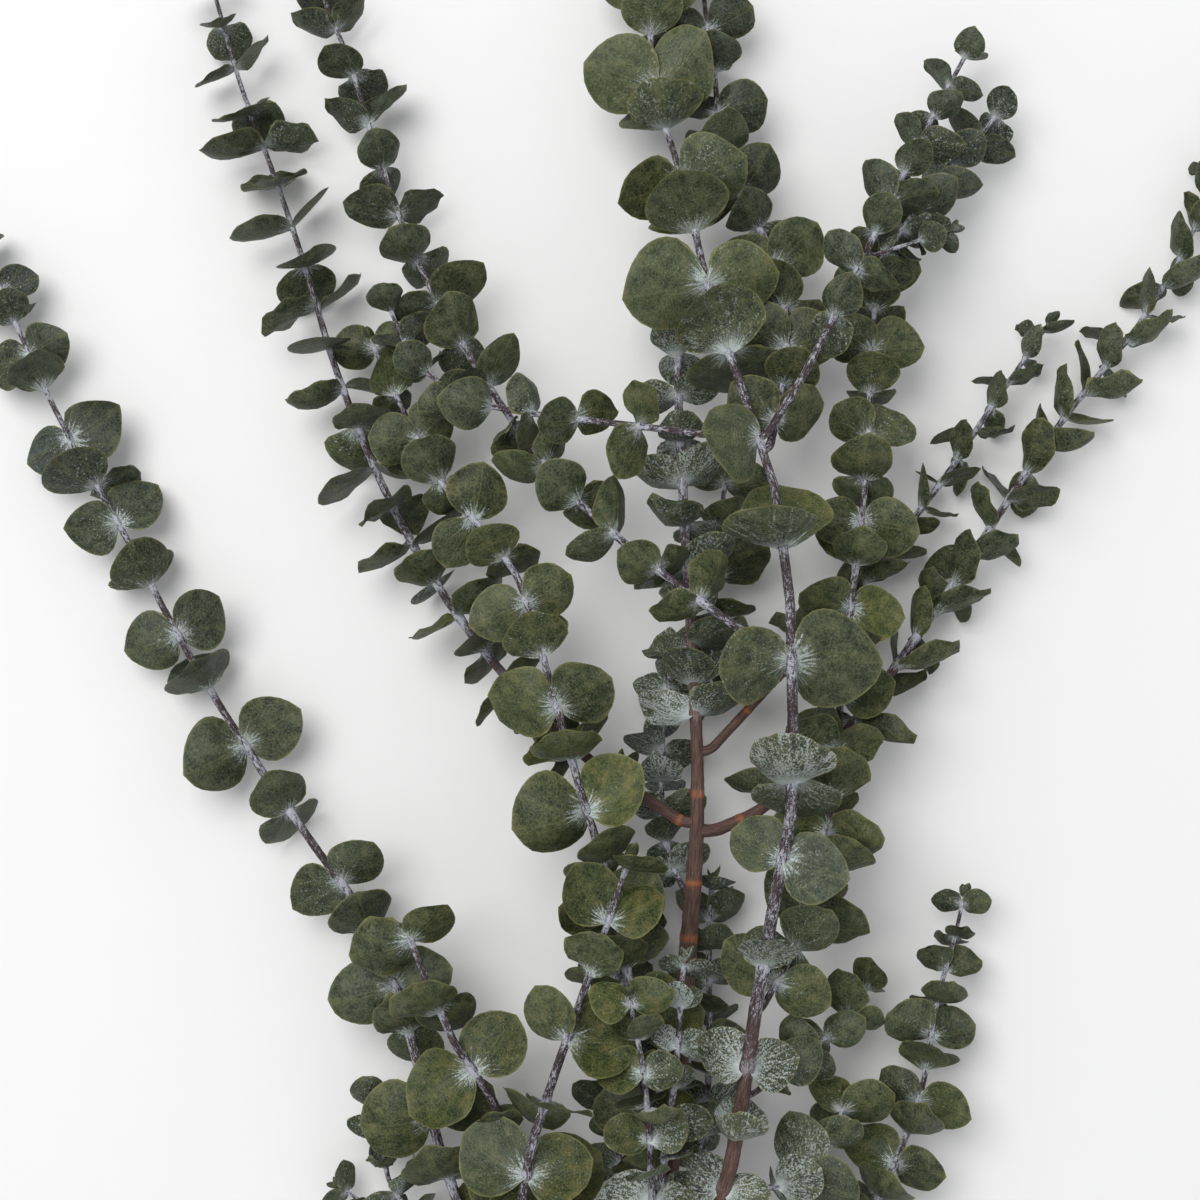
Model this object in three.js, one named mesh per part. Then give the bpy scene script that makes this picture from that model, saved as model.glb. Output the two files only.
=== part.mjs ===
// A cut eucalyptus branch with round leaves in opposite pairs, lying on a level surface.
// Millimetres, +Z up, the tips of the fan towards +Y. The origin is under the middle of the branch,
// on the surface that it lies on.
import * as THREE from 'three';

// ---------------------------------------------------------------- driving dimensions

const LEAF_THICKNESS = 0.7; // at the middle of a blade, thinning to nothing at its rim
const LEAF_SIDES = 6;
const LEAF_ROOT = { width: 1.2, height: 0.35 }; // the most where a blade leaves its stem
const ROOT_SHARE = { width: 0.36, height: 0.2, stray: 0.1 }; // the most, over a stem face's width
const STEM_SIDES = 5;
const CLEARANCE = 0.4; // between any two shoots, and between the blades of one shoot
const LONGEST_BARE_STRETCH = 24; // of stem between two rings of its tube
const STEM_PAST_LAST_PAIR = 3;

const OPEN_ANGLE = 42; // degrees between a stem and its leaves, on the side away from the ground
const DROOP_ANGLE = 118; // the same for a leaf that the ground pushes back
const LEAST_RISE = 0.4; // of a blade off its stem's face, as the sine of the angle between them
const LEVEL_ANGLE = 86; // the same for a side leaf whose face is turned up
const ANGLE_SPREAD = 18;
const TURN_SPREAD = 20; // how far a pair strays from a quarter turn against the pair below it
const SIZE_SPREAD = 0.12;
const POSE_TRIES = 90; // how often a leaf is bent aside before it is left out
const POSE_STRAY = { angle: 50, turn: 60 }; // degrees by which the last tries may differ
const SMALLEST_SHARE = 0.72; // of its full size that a crowded leaf keeps
const MOST_FACING = 1.3; // by which a strayed leaf's share of facing up may grow
const DROOP = { below: -0.3, chance: 0.7 }; // the sine of a turn so low that a leaf may droop
const UNDERSIDE_LIMIT = 0.05; // of a face's lean, as a cosine, past which it turns over
const JOINT_REACH = { radii: 2.2, more: 2 }; // of stem at a leaf's root that the blade may be near
const STEM_CHECK_STEP = 3; // from place to place where a blade is held against its own stem
const START_STEP = 0.5; // by which a side shoot's tube begins further out until it is clear
const CURVE_DIVISIONS = 400; // that a route's length is measured in

const LEAF_COLOUR = 0x566048;
const BARK_COLOUR = 0x5f443a;
const LEAF_ROUGHNESS = 0.7;
const BARK_ROUGHNESS = 0.85;

// Each shoot of the branch, from the thick end to the tips.
// route: points that the stem passes, each [x, y, height]. thick: stem diameters at even steps.
// bare: stem before the first pair. gaps: from pair to pair, the last one repeating.
// blade: leaf lengths at even steps. wide: width over length. facing: how far a side leaf's face
// turns up, 0 to 1. turn: degrees that the first pair stands round from level. open: an angle of
// the shoot's own in place of OPEN_ANGLE.
const SHOOTS = [
  {
    name: 'main_stem',
    route: [[13, -372, 6], [20, -346, 12], [23, -300, 20], [28, -247, 30], [37, -138, 42],
      [40, -96, 46], [40, -58, 46], [36, 17, 42], [33, 71, 38], [32, 125, 34], [32, 141, 32]],
    thick: [10, 9.3, 8.8, 5.6, 4.2, 3.4],
    bare: 330, gaps: [13, 15, 14, 18], blade: [14, 20, 24, 18], wide: 1, facing: 0.5, turn: 20,
    bark: true,
  },
  {
    name: 'front_leader',
    route: [[25, -320, 17], [37, -286, 40], [51, -241, 60], [60, -183, 74], [67, -134, 80],
      [75, -100, 83], [77, -48, 84], [75, 12, 82], [66, 63, 76], [54, 93, 70], [44, 127, 63],
      [35, 168, 54], [23, 210, 44], [21, 233, 38], [19, 285, 28]],
    thick: [8, 6.6, 5.3, 4, 3.1, 2.2],
    bare: 95, gaps: [24, 30, 42, 45, 31, 48, 47, 45, 38, 30, 23, 21, 25, 19, 24, 22],
    blade: [17, 18, 19, 19, 20, 22, 31, 32, 32, 31, 30, 29, 28, 25, 21], wide: 1.16,
    facing: 0.75, turn: 0,
  },
  {
    name: 'middle_left_shoot',
    route: [[23, -296, 22], [21, -244, 44], [17, -188, 58], [3, -114, 64], [-11, -67, 66],
      [-24, -21, 62], [-38, 18, 54], [-63, 44, 42], [-79, 73, 32], [-93, 101, 24], [-100, 120, 20]],
    thick: [5.4, 4.4, 3.6, 2.8, 2],
    bare: 42, gaps: [24, 22], blade: [18, 24, 26, 22, 15], wide: 1.12, facing: 0.8, turn: 0,
  },
  {
    name: 'far_left_shoot',
    route: [[22, -335, 14], [-6, -325, 20], [-42, -288, 34], [-62, -242, 40], [-78, -185, 38],
      [-92, -143, 32], [-134, -84, 25], [-173, -24, 20], [-197, 21, 20], [-230, 80, 19],
      [-253, 131, 19], [-263, 152, 18]],
    thick: [6.4, 4.8, 4, 3.4, 2.6, 2],
    bare: 82, gaps: [30, 26, 26, 37, 19, 26, 23, 37, 34, 28, 26, 24, 30, 18, 23, 24, 15],
    blade: [24, 25, 25, 25, 23, 15], wide: 1.12, facing: 0.85, turn: 90,
  },
  {
    name: 'left_fork',
    route: [[38, -94, 46], [18, -83, 42], [-21, -52, 34], [-60, -6, 28], [-87, 39, 26],
      [-110, 94, 24], [-126, 146, 22], [-140, 186, 20], [-152, 218, 19], [-162, 253, 18],
      [-168, 275, 18]],
    thick: [5.2, 4.4, 3.6, 3, 2.2, 1.8],
    bare: 40, gaps: [18, 19, 20, 18], blade: [20, 21, 23, 24, 23, 14], wide: 1.1, facing: 0.1,
    turn: 90, open: 80,
  },
  {
    name: 'right_fork',
    route: [[41, -97, 46], [58, -92, 42], [83, -75, 34], [100, -59, 30], [116, -39, 27],
      [151, 10, 22], [193, 73, 20], [228, 117, 19], [245, 144, 18], [263, 184, 18], [273, 208, 18]],
    thick: [6, 4.6, 3.8, 3, 2.2, 1.8],
    bare: 44, gaps: [21, 19, 16, 14], blade: [23, 24, 24, 22, 20, 16], wide: 0.64, facing: 0.1,
    turn: 45, open: 40,
  },
  {
    name: 'right_back_fork',
    route: [[41, -67, 46], [61, -46, 38], [99, -6, 26], [116, 14, 22], [145, 51, 19], [165, 81, 18],
      [185, 110, 18], [191, 120, 18]],
    thick: [4.6, 3.6, 2.8, 2],
    bare: 52, gaps: [15, 13], blade: [21, 22, 19, 13], wide: 0.64, facing: 0.1, turn: 45,
  },
  {
    name: 'upright_right_shoot',
    route: [[99, -60, 30], [100, -40, 38], [103, -8, 44], [110, 52, 44], [113, 103, 38],
      [117, 141, 30], [123, 159, 26]],
    thick: [3.6, 3.2, 2.6, 1.8],
    bare: 22, gaps: [19, 18], blade: [20, 22, 20, 15], wide: 1.12, facing: 0.75, turn: 0,
  },
  {
    name: 'high_right_shoot',
    route: [[65, 63, 76], [73, 77, 80], [87, 99, 78], [108, 141, 62], [125, 175, 46],
      [140, 204, 36], [153, 228, 30], [159, 238, 28]],
    thick: [3.6, 3, 2.6, 1.8],
    bare: 62, gaps: [22, 19, 17, 15], blade: [20, 20, 18, 12], wide: 0.95, facing: 0.35, turn: 90,
  },
  {
    name: 'high_right_twin',
    route: [[96, 118, 70], [115, 139, 54], [133, 165, 36], [148, 182, 28], [159, 194, 24],
      [170, 208, 20]],
    thick: [2.8, 2.4, 1.8],
    bare: 24, gaps: [14], blade: [17, 20, 15], wide: 0.95, facing: 0.35, turn: 0,
  },
  {
    name: 'high_right_twig',
    route: [[107, 139, 62], [126, 146, 52], [147, 154, 44]],
    thick: [2, 1.4],
    bare: 18, gaps: [11], blade: [13, 12, 9], wide: 1, facing: 0.5, turn: 0,
  },
  {
    name: 'high_left_shoot',
    route: [[76, -24, 84], [52, -9, 78], [33, 5, 72], [4, 28, 62], [-24, 57, 52], [-45, 87, 42],
      [-66, 121, 32], [-82, 155, 26], [-95, 192, 21], [-106, 228, 19], [-117, 255, 18],
      [-122, 275, 18]],
    thick: [4, 3.4, 3, 2.5, 2],
    bare: 44, gaps: [22, 24, 21], blade: [19, 20, 21, 21, 18], wide: 1, facing: 0.4, turn: 0,
  },
  {
    name: 'crossing_left_shoot',
    route: [[65, 64, 76], [41, 67, 72], [12, 71, 68], [-26, 76, 58], [-56, 83, 48], [-78, 101, 40],
      [-88, 123, 34], [-94, 137, 32]],
    thick: [3.4, 2.8, 2.4, 1.8],
    bare: 50, gaps: [26, 20, 18, 16], blade: [20, 20, 19, 14], wide: 1, facing: 0.5, turn: 0,
  },
  {
    name: 'back_leader',
    route: [[67, 55, 77], [73, 82, 60], [77, 111, 48], [69, 150, 38], [52, 181, 32], [48, 223, 26],
      [44, 251, 22], [43, 272, 20]],
    thick: [4, 3.4, 2.8, 2],
    bare: 22, gaps: [17, 18], blade: [22, 23, 22, 16], wide: 1.1, facing: 0.7, turn: 0,
  },
  {
    name: 'front_left_shoot',
    route: [[-50, -276, 37], [-35, -256, 60], [-25, -209, 76], [-14, -179, 80], [-5, -152, 80],
      [4, -127, 80], [12, -103, 78]],
    thick: [5, 4.4, 3.6, 2.4],
    bare: 30, gaps: [30, 32, 29, 28, 22], blade: [24, 26, 25, 22], wide: 1.12, facing: 0.6,
    turn: 90,
  },
  {
    name: 'broad_left_shoot',
    route: [[-17, -318, 24], [-25, -249, 40], [-46, -202, 54], [-59, -182, 58], [-72, -153, 58],
      [-79, -135, 56]],
    thick: [5.4, 4.6, 4, 2.6],
    bare: 50, gaps: [26, 30], blade: [25, 28, 28, 22], wide: 1.12, facing: 0.7, turn: 90,
  },
  {
    name: 'left_twig',
    route: [[-44, -285, 34], [-74, -262, 30], [-88, -245, 28], [-92, -225, 28], [-97, -200, 26]],
    thick: [2.8, 2.2, 1.6],
    bare: 26, gaps: [15, 14, 13], blade: [18, 16, 15], wide: 0.85, facing: 0.5, turn: 0,
  },
  {
    name: 'left_low_twig',
    route: [[-36, -294, 32], [-80, -268, 22], [-108, -250, 16], [-116, -245, 15]],
    thick: [2.4, 1.4],
    bare: 46, gaps: [15, 12], blade: [15, 12], wide: 0.9, facing: 0.5, turn: 90,
  },
  {
    name: 'inner_left_shoot',
    route: [[23, -304, 20], [22, -262, 52], [18, -193, 82], [13, -165, 88], [11, -155, 90]],
    thick: [4, 3.4, 2.6, 1.8],
    bare: 40, gaps: [17, 15], blade: [20, 21, 19, 15], wide: 1.05, facing: 0.6, turn: 0,
  },
  {
    name: 'inner_front_shoot',
    route: [[26, -288, 24], [26, -228, 62], [31, -187, 74], [33, -154, 70], [35, -143, 68]],
    thick: [4, 3.4, 2.8, 2],
    bare: 40, gaps: [17, 16], blade: [19, 20, 17, 11], wide: 1, facing: 0.6, turn: 90,
  },
  {
    name: 'inner_right_shoot',
    route: [[62, -170, 75], [77, -147, 60], [89, -124, 50], [94, -95, 48], [97, -70, 48],
      [97, -54, 48]],
    thick: [3.2, 2.6, 2],
    bare: 20, gaps: [17], blade: [22, 24, 20], wide: 1.1, facing: 0.6, turn: 0,
  },
  {
    name: 'lower_right_twig',
    route: [[57, -203, 70], [78, -192, 52], [94, -181, 40], [105, -173, 34], [114, -157, 30]],
    thick: [2.8, 2.4, 1.8],
    bare: 24, gaps: [14], blade: [18, 20, 16], wide: 0.95, facing: 0.5, turn: 90,
  },
  {
    name: 'lower_right_shoot',
    route: [[37, -285, 40], [79, -279, 34], [109, -262, 30], [124, -235, 28], [136, -202, 26],
      [141, -171, 24], [149, -144, 22], [155, -117, 20]],
    thick: [4.2, 3.4, 2.6, 1.6],
    bare: 44, gaps: [18, 16, 15, 15, 14], blade: [22, 24, 22, 18, 9], wide: 1.05, facing: 0.7,
    turn: 0,
  },
  {
    name: 'lower_right_side_twig',
    route: [[51, -241, 60], [72, -245, 50], [88, -233, 42], [99, -217, 38], [104, -198, 36]],
    thick: [3, 2.6, 1.8],
    bare: 26, gaps: [15], blade: [21, 22, 18], wide: 1.05, facing: 0.6, turn: 90,
  },
  {
    name: 'centre_low_shoot',
    route: [[38, -127, 43], [28, -104, 30], [26, -61, 24], [29, -38, 22], [30, -10, 20]],
    thick: [3, 2.4, 1.8],
    bare: 18, gaps: [13], blade: [15, 17, 14], wide: 1, facing: 0.6, turn: 0,
  },
  {
    name: 'centre_thin_shoot',
    route: [[40, -56, 46], [45, -38, 34], [48, -8, 26], [49, 18, 22], [53, 51, 20], [55, 68, 20]],
    thick: [3, 2.6, 2],
    bare: 34, gaps: [20, 19], blade: [20, 22, 19], wide: 1.05, facing: 0.6, turn: 0,
  },
  {
    name: 'low_back_shoot',
    route: [[25, -262, 27], [38, -243, 24], [45, -210, 22], [46, -170, 22], [46, -134, 22],
      [48, -112, 22]],
    thick: [3.2, 2.8, 2.2],
    bare: 28, gaps: [14, 13], blade: [17, 18, 16], wide: 1.05, facing: 0.6, turn: 0,
  },
  {
    name: 'low_back_left_shoot',
    route: [[24, -276, 24], [12, -250, 28], [5, -214, 28], [5, -176, 26], [10, -140, 24],
      [16, -112, 22]],
    thick: [3.2, 2.8, 2.2],
    bare: 28, gaps: [14, 13], blade: [17, 18, 16], wide: 1.05, facing: 0.6, turn: 90,
  },
];

// ---------------------------------------------------------------- small helpers

const UP = new THREE.Vector3(0, 0, 1);
const rad = THREE.MathUtils.degToRad;

// Evenly spread numbers from 0 to 1 that are the same on every run.
function seeded(seed) {
  let state = seed * 7919 + 13;
  return () => {
    state = (state * 1664525 + 1013904223) % 4294967296;
    return state / 4294967296;
  };
}

// The value at a share of the way along a list of values at even steps.
function along(values, share) {
  const place = THREE.MathUtils.clamp(share, 0, 1) * (values.length - 1);
  const first = Math.min(Math.floor(place), values.length - 2);
  return THREE.MathUtils.lerp(values[first], values[first + 1], place - first);
}

// Corners and the triangles between them, gathered into one closed surface.
class Surface {
  constructor() {
    this.corners = [];
    this.faces = [];
  }

  corner(point) {
    return this.corners.push(point) - 1;
  }

  face(...corners) {
    this.faces.push(corners);
  }

  geometry() {
    const geometry = new THREE.BufferGeometry().setFromPoints(this.corners);
    geometry.setIndex(this.faces.flat());
    geometry.computeVertexNormals();
    return geometry;
  }
}

// ---------------------------------------------------------------- distances

// Between the stretches a to b and c to d.
function stretchGap(a, b, c, d) {
  const first = b.clone().sub(a);
  const second = d.clone().sub(c);
  const between = a.clone().sub(c);
  const firstSquare = first.lengthSq();
  const secondSquare = second.lengthSq();
  const mixed = first.dot(second);
  const firstBetween = first.dot(between);
  const secondBetween = second.dot(between);
  const spread = firstSquare * secondSquare - mixed * mixed;
  let s = 0;
  if (spread > 1e-9) {
    s = THREE.MathUtils.clamp((mixed * secondBetween - firstBetween * secondSquare) / spread, 0, 1);
  }
  let t = (mixed * s + secondBetween) / secondSquare;
  if (t < 0 || t > 1) {
    t = THREE.MathUtils.clamp(t, 0, 1);
    s = THREE.MathUtils.clamp((mixed * t - firstBetween) / firstSquare, 0, 1);
  }
  return first.multiplyScalar(s).add(a).distanceTo(second.multiplyScalar(t).add(c));
}

// Whether a point in a blade's plane is inside the blade's outline.
function insideOutline(point, blade) {
  return blade.rim.every((corner, i) => {
    const next = blade.rim[(i + 1) % blade.rim.length];
    const edge = next.clone().sub(corner);
    return edge.cross(point.clone().sub(corner)).dot(blade.normal) >= 0;
  });
}

// Between a stretch of line and a flat blade: 0 where the line goes through it.
function bladeToStretch(blade, a, b) {
  const heightA = a.clone().sub(blade.middle).dot(blade.normal);
  const heightB = b.clone().sub(blade.middle).dot(blade.normal);
  if (heightA * heightB < 0) {
    const crossing = a.clone().lerp(b, heightA / (heightA - heightB));
    if (insideOutline(crossing, blade)) return 0;
  }
  let gap = Infinity;
  for (const [end, height] of [[a, heightA], [b, heightB]]) {
    const foot = end.clone().addScaledVector(blade.normal, -height);
    if (insideOutline(foot, blade)) gap = Math.min(gap, Math.abs(height));
  }
  blade.rim.forEach((corner, i) => {
    const next = blade.rim[(i + 1) % blade.rim.length];
    gap = Math.min(gap, stretchGap(corner, next, a, b));
  });
  return gap;
}

function bladeToBlade(one, other) {
  let gap = Infinity;
  for (const [edges, face] of [[one, other], [other, one]]) {
    edges.rim.forEach((corner, i) => {
      const next = edges.rim[(i + 1) % edges.rim.length];
      gap = Math.min(gap, bladeToStretch(face, corner, next));
    });
  }
  return gap;
}

// ---------------------------------------------------------------- stems

// The stem's middle line, its direction and its radius at a length from its thick end. Its tube
// has a ring of corners at each length in places, and runs straight from ring to ring.
class Stem {
  constructor(shoot) {
    const points = shoot.route.map((point) => new THREE.Vector3(...point));
    this.curve = new THREE.CatmullRomCurve3(points, false, 'centripetal');
    this.curve.arcLengthDivisions = CURVE_DIVISIONS;
    this.length = this.curve.getLength();
    this.thick = shoot.thick;
    this.rings = [];
  }

  onCurve(distance) {
    return this.curve.getPointAt(THREE.MathUtils.clamp(distance / this.length, 0, 1));
  }

  direction(distance) {
    return this.curve.getTangentAt(THREE.MathUtils.clamp(distance / this.length, 0, 1));
  }

  radius(distance) {
    return along(this.thick, distance / this.length) / 2;
  }

  setRings(places) {
    let side = new THREE.Vector3().crossVectors(this.direction(places[0]), UP).normalize();
    for (const place of places) {
      const direction = this.direction(place);
      const middle = this.onCurve(place);
      side = side.clone().addScaledVector(direction, -side.dot(direction)).normalize();
      const over = new THREE.Vector3().crossVectors(direction, side);
      const corners = [];
      for (let i = 0; i < STEM_SIDES; i += 1) {
        const angle = (i / STEM_SIDES) * 2 * Math.PI;
        corners.push(middle.clone()
          .addScaledVector(side, Math.cos(angle) * this.radius(place))
          .addScaledVector(over, Math.sin(angle) * this.radius(place)));
      }
      this.rings.push({ place, middle, corners });
    }
  }

  // The number of the ring before a length, and the share of the way to the ring after it.
  between(distance) {
    const after = this.rings.findIndex((ring) => ring.place > distance);
    const number = after < 0 ? this.rings.length - 2 : Math.max(after, 1) - 1;
    const [from, to] = [this.rings[number].place, this.rings[number + 1].place];
    return { number, share: (distance - from) / (to - from) };
  }

  point(distance) {
    const { number, share } = this.between(distance);
    return this.rings[number].middle.clone().lerp(this.rings[number + 1].middle, share);
  }

  // Where a leaf that grows outwards in a direction leaves the tube: the spot on one of its faces.
  socket(distance, out) {
    const { number, share } = this.between(distance);
    const middle = this.point(distance);
    const section = this.rings[number].corners.map((corner, i) => (
      corner.clone().lerp(this.rings[number + 1].corners[i], share)
    ));
    const faces = section.map((corner, side) => {
      const next = section[(side + 1) % STEM_SIDES];
      const centre = corner.clone().lerp(next, 0.5);
      const width = corner.distanceTo(next);
      const normal = centre.clone().sub(middle).normalize();
      return { number, side, centre, width, normal, level: next.clone().sub(corner).normalize() };
    });
    const face = faces.reduce((best, one) => (
      one.normal.dot(out) > best.normal.dot(out) ? one : best
    ));
    const most = ROOT_SHARE.stray * face.width;
    const sideways = THREE.MathUtils.clamp(out.dot(face.level) * face.width, -most, most);
    return { ...face, spot: face.centre.clone().addScaledVector(face.level, sideways) };
  }
}

// Where a side shoot's tube can begin without touching the stems that are there already.
function clearStart(stem, stretches) {
  const isFree = (place) => {
    const middle = stem.onCurve(place);
    const ahead = middle.clone().add(stem.direction(place));
    const reach = stem.radius(place) + CLEARANCE;
    return stretches.every((other) => (
      stretchGap(middle, ahead, other.a, other.b) >= other.radius + reach
    ));
  };
  let distance = 0;
  while (distance < stem.length / 2 && !isFree(distance)) distance += START_STEP;
  return distance;
}

// The lengths along a stem where its leaf pairs stand.
function pairPlaces(shoot, stem, start) {
  const places = [];
  let place = Math.max(shoot.bare, start + stem.radius(start) * 2);
  while (place < stem.length - STEM_PAST_LAST_PAIR) {
    places.push(place);
    place += shoot.gaps[Math.min(places.length - 1, shoot.gaps.length - 1)];
  }
  return places;
}

// The lengths along a stem where its tube has a ring: between pairs, and along bare stretches.
function ringPlaces(start, places) {
  const first = places[0];
  const bareSteps = Math.max(1, Math.round((first - start) / LONGEST_BARE_STRETCH));
  const rings = [];
  for (let step = 0; step < bareSteps; step += 1) {
    rings.push(THREE.MathUtils.lerp(start, first, step / bareSteps));
  }
  for (let i = 0; i + 1 < places.length; i += 1) {
    rings.push((places[i] + places[i + 1]) / 2);
  }
  rings.push(places[places.length - 1] + STEM_PAST_LAST_PAIR);
  return rings;
}

// ---------------------------------------------------------------- leaves

// A flat blade that leaves the stem at the angle open and stands round it by turn; facing turns
// its face up, with flip deciding which face where both would do.
function makeBlade(stem, place, size, pose) {
  const direction = stem.direction(place);
  const level = new THREE.Vector3().crossVectors(direction, UP).normalize();
  const upright = new THREE.Vector3().crossVectors(level, direction);
  const out = level.multiplyScalar(Math.cos(pose.turn))
    .addScaledVector(upright, Math.sin(pose.turn));
  const point = out.clone().multiplyScalar(Math.sin(pose.open))
    .addScaledVector(direction, Math.cos(pose.open));
  const inner = direction.clone().multiplyScalar(Math.sin(pose.open))
    .addScaledVector(out, -Math.cos(pose.open));
  const skyward = UP.clone().addScaledVector(point, -UP.dot(point));
  if (skyward.dot(inner) < -UNDERSIDE_LIMIT * pose.flip) skyward.negate();
  const normal = inner.lerp(skyward, pose.facing).normalize();
  const across = new THREE.Vector3().crossVectors(normal, point);
  const socket = stem.socket(place, out);
  const rim = [];
  for (let i = 0; i < LEAF_SIDES; i += 1) {
    const angle = (i / LEAF_SIDES) * 2 * Math.PI;
    rim.push(socket.spot.clone()
      .addScaledVector(point, ((1 - Math.cos(angle)) / 2) * size.length)
      .addScaledVector(across, -(Math.sin(angle) / 2) * size.width));
  }
  const middle = socket.spot.clone().addScaledVector(point, size.length / 2);
  const reach = Math.max(...rim.map((corner) => corner.distanceTo(middle)));
  return { rim, middle, normal, reach, point, across, socket };
}

// The blade's root: left, right and upper corner, pushed along the blade on to the stem's face.
function rootCorners({ point, across, normal, socket }) {
  const width = Math.min(LEAF_ROOT.width, ROOT_SHARE.width * socket.width);
  const height = Math.min(LEAF_ROOT.height, ROOT_SHARE.height * socket.width);
  const offsets = [
    across.clone().multiplyScalar(-width / 2),
    across.clone().multiplyScalar(width / 2),
    normal.clone().multiplyScalar(height),
  ];
  return offsets.map((offset) => {
    const off = offset.dot(socket.normal) / point.dot(socket.normal);
    return socket.spot.clone().add(offset).addScaledVector(point, -off);
  });
}

// The blade's surface from its root on: flat below, with a low peak on its inner face.
function addBlade(surface, blade, [left, right, upper]) {
  const peak = surface.corner(
    blade.middle.clone().addScaledVector(blade.normal, LEAF_THICKNESS),
  );
  const rim = [left, ...blade.rim.slice(1).map((corner) => surface.corner(corner)), right];
  for (let i = 0; i + 1 < rim.length; i += 1) {
    surface.face(peak, rim[i], rim[i + 1]);
    if (i > 0) surface.face(left, rim[i + 1], rim[i]);
  }
  surface.face(peak, upper, left);
  surface.face(peak, right, upper);
}

// A face of the tube with a leaf's root in it. Each outer edge meets the root's furthest corner on
// its side, and each edge of the root meets the outer corner between.
function addFaceWithRoot(surface, outer, root) {
  const normal = new THREE.Vector3();
  const [origin, level, high] = [0, 1, 3].map((i) => surface.corners[outer[i]].clone());
  normal.crossVectors(level.sub(origin), high.sub(origin));
  const furthest = outer.map((corner, i) => {
    const next = surface.corners[outer[(i + 1) % outer.length]];
    const outward = next.clone().sub(surface.corners[corner]).cross(normal);
    const heights = root.map((one) => surface.corners[one].dot(outward));
    return heights.indexOf(Math.max(...heights));
  });
  outer.forEach((corner, i) => {
    let inner = furthest[(i + outer.length - 1) % outer.length];
    while (inner !== furthest[i]) {
      const next = (inner + 1) % root.length;
      surface.face(corner, root[next], root[inner]);
      inner = next;
    }
    surface.face(corner, outer[(i + 1) % outer.length], root[inner]);
  });
}

// Whether a blade is clear of the ground, of other stems and blades, and of its own stem beyond
// the joint.
function isClear(blade, own, stretches, blades) {
  if (blade.middle.z < LEAF_THICKNESS || blade.rim.some((corner) => corner.z < 0)) return false;
  if (blade.point.dot(blade.socket.normal) < LEAST_RISE) return false;
  const joint = own.stem.radius(own.place) * JOINT_REACH.radii + JOINT_REACH.more;
  for (let step = joint; step < blade.reach * 2; step += STEM_CHECK_STEP) {
    for (const place of [own.place - step, own.place + step]) {
      const inside = place > own.stem.rings[0].place && place < own.stem.length;
      const room = own.stem.radius(place) + LEAF_THICKNESS;
      const spot = own.stem.point(place);
      const next = spot.clone().addScaledVector(own.stem.direction(place), 1);
      if (inside && bladeToStretch(blade, spot, next) < room) return false;
    }
  }
  for (const other of stretches) {
    if (other.shoot === own.name) continue;
    const needed = other.radius + LEAF_THICKNESS + CLEARANCE;
    const middle = other.a.clone().lerp(other.b, 0.5);
    const far = blade.reach + other.a.distanceTo(other.b) / 2 + needed;
    if (middle.distanceTo(blade.middle) > far) continue;
    if (bladeToStretch(blade, other.a, other.b) < needed) return false;
  }
  for (const other of blades) {
    if (other.shoot === own.name && other.place === own.place) continue;
    const needed = 2 * LEAF_THICKNESS + CLEARANCE;
    if (other.middle.distanceTo(blade.middle) > blade.reach + other.reach + needed) continue;
    if (bladeToBlade(blade, other) < needed) return false;
  }
  return true;
}

// One leaf: its intended pose first, then poses bent further aside until one is clear.
function placeBlade(shoot, stem, place, turn, random, stretches, blades) {
  const full = along(shoot.blade, place / stem.length) * (1 + SIZE_SPREAD * (2 * random() - 1));
  const droops = Math.sin(turn) < DROOP.below && random() < DROOP.chance;
  const sideways = Math.abs(Math.cos(turn)) * shoot.facing;
  const upright = shoot.open ?? OPEN_ANGLE;
  const open = THREE.MathUtils.lerp(droops ? DROOP_ANGLE : upright, LEVEL_ANGLE, sideways);
  const flip = random() < 0.5 ? -1 : 1;
  const taken = blades.filter((other) => other.shoot === shoot.name && other.place === place);
  for (let attempt = 0; attempt < POSE_TRIES; attempt += 1) {
    const stray = attempt / POSE_TRIES;
    const length = full * THREE.MathUtils.lerp(1, SMALLEST_SHARE, stray);
    const spread = ANGLE_SPREAD + POSE_STRAY.angle * stray;
    const blade = makeBlade(stem, place, { length, width: length * shoot.wide }, {
      open: rad(open + spread * (2 * random() - 1)),
      turn: turn + rad(POSE_STRAY.turn * stray) * (2 * random() - 1),
      facing: sideways * THREE.MathUtils.lerp(1, random() * MOST_FACING, stray),
      flip,
    });
    const isFree = taken.every((other) => other.socket.side !== blade.socket.side);
    if (isFree && isClear(blade, { name: shoot.name, stem, place }, stretches, blades)) {
      return { ...blade, shoot: shoot.name, place };
    }
  }
  return null;
}

// A stem's tube and the blades on it as one closed surface.
function shootGeometry(stem, blades) {
  const surface = new Surface();
  const rings = stem.rings.map((ring) => ring.corners.map((corner) => surface.corner(corner)));
  for (let number = 0; number + 1 < rings.length; number += 1) {
    for (let side = 0; side < STEM_SIDES; side += 1) {
      const next = (side + 1) % STEM_SIDES;
      const [below, above] = [rings[number], rings[number + 1]];
      const outer = [below[side], below[next], above[next], above[side]];
      const blade = blades.find(({ socket }) => socket.number === number && socket.side === side);
      if (blade) {
        const root = rootCorners(blade).map((corner) => surface.corner(corner));
        addFaceWithRoot(surface, outer, root);
        addBlade(surface, blade, root);
      } else {
        surface.face(outer[0], outer[1], outer[2]);
        surface.face(outer[0], outer[2], outer[3]);
      }
    }
  }
  for (let side = 1; side + 1 < STEM_SIDES; side += 1) {
    const [first, last] = [rings[0], rings[rings.length - 1]];
    surface.face(first[0], first[side + 1], first[side]);
    surface.face(last[0], last[side], last[side + 1]);
  }
  return surface.geometry();
}

// ---------------------------------------------------------------- the branch

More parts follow.
